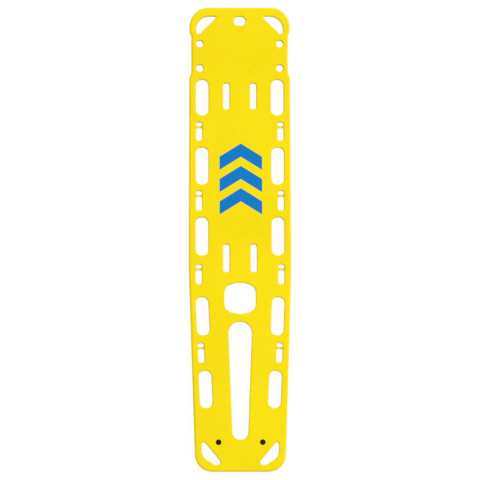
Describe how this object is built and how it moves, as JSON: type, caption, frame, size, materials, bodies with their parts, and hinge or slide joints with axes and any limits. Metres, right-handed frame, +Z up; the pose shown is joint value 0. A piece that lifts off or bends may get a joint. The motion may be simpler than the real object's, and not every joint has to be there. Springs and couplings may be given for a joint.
{
  "type": "spine board",
  "caption": "Long flat board for lifting and carrying a patient, with hand-holds along both rails, strap slots crossed by pins, a leg slot and runners underneath.",
  "frame": {"origin": "middle of the board's length and width, on the floor under the runners", "axes": "+Y to the head end, +X to the right-hand rail seen from above, +Z up out of the deck"},
  "size_m": [0.4036, 1.83, 0.045],
  "materials": {
    "board_plastic": "satin",
    "foam": "matte",
    "print": "satin",
    "tube_composite": "satin",
    "cap_plastic": "matte",
    "pin_plastic": "satin",
    "plug_rubber": "matte"
  },
  "bodies": {
    "board": {"deck_skin": "board_plastic", "base_skin": "board_plastic", "foam_core": "foam", "deck_print": "print", "left_stiffener_tube": "tube_composite", "right_stiffener_tube": "tube_composite", "left_tube_head_cap": "cap_plastic", "left_tube_foot_cap": "cap_plastic", "right_tube_head_cap": "cap_plastic", "right_tube_foot_cap": "cap_plastic", "left_chest_pin": "pin_plastic", "left_waist_pin": "pin_plastic", "left_thigh_pin": "pin_plastic", "left_knee_pin": "pin_plastic", "right_chest_pin": "pin_plastic", "right_waist_pin": "pin_plastic", "right_thigh_pin": "pin_plastic", "right_knee_pin": "pin_plastic"},
    "left_plug": {"left_port_plug": "plug_rubber"},
    "right_plug": {"right_port_plug": "plug_rubber"}
  },
  "joints": [
    {"name": "left_plug_pull", "type": "slide", "parent": "board", "child": "left_plug", "axis": [0, 0, 1], "range_m": [0, 0.018]},
    {"name": "right_plug_pull", "type": "slide", "parent": "board", "child": "right_plug", "axis": [0, 0, 1], "range_m": [0, 0.018]}
  ]
}
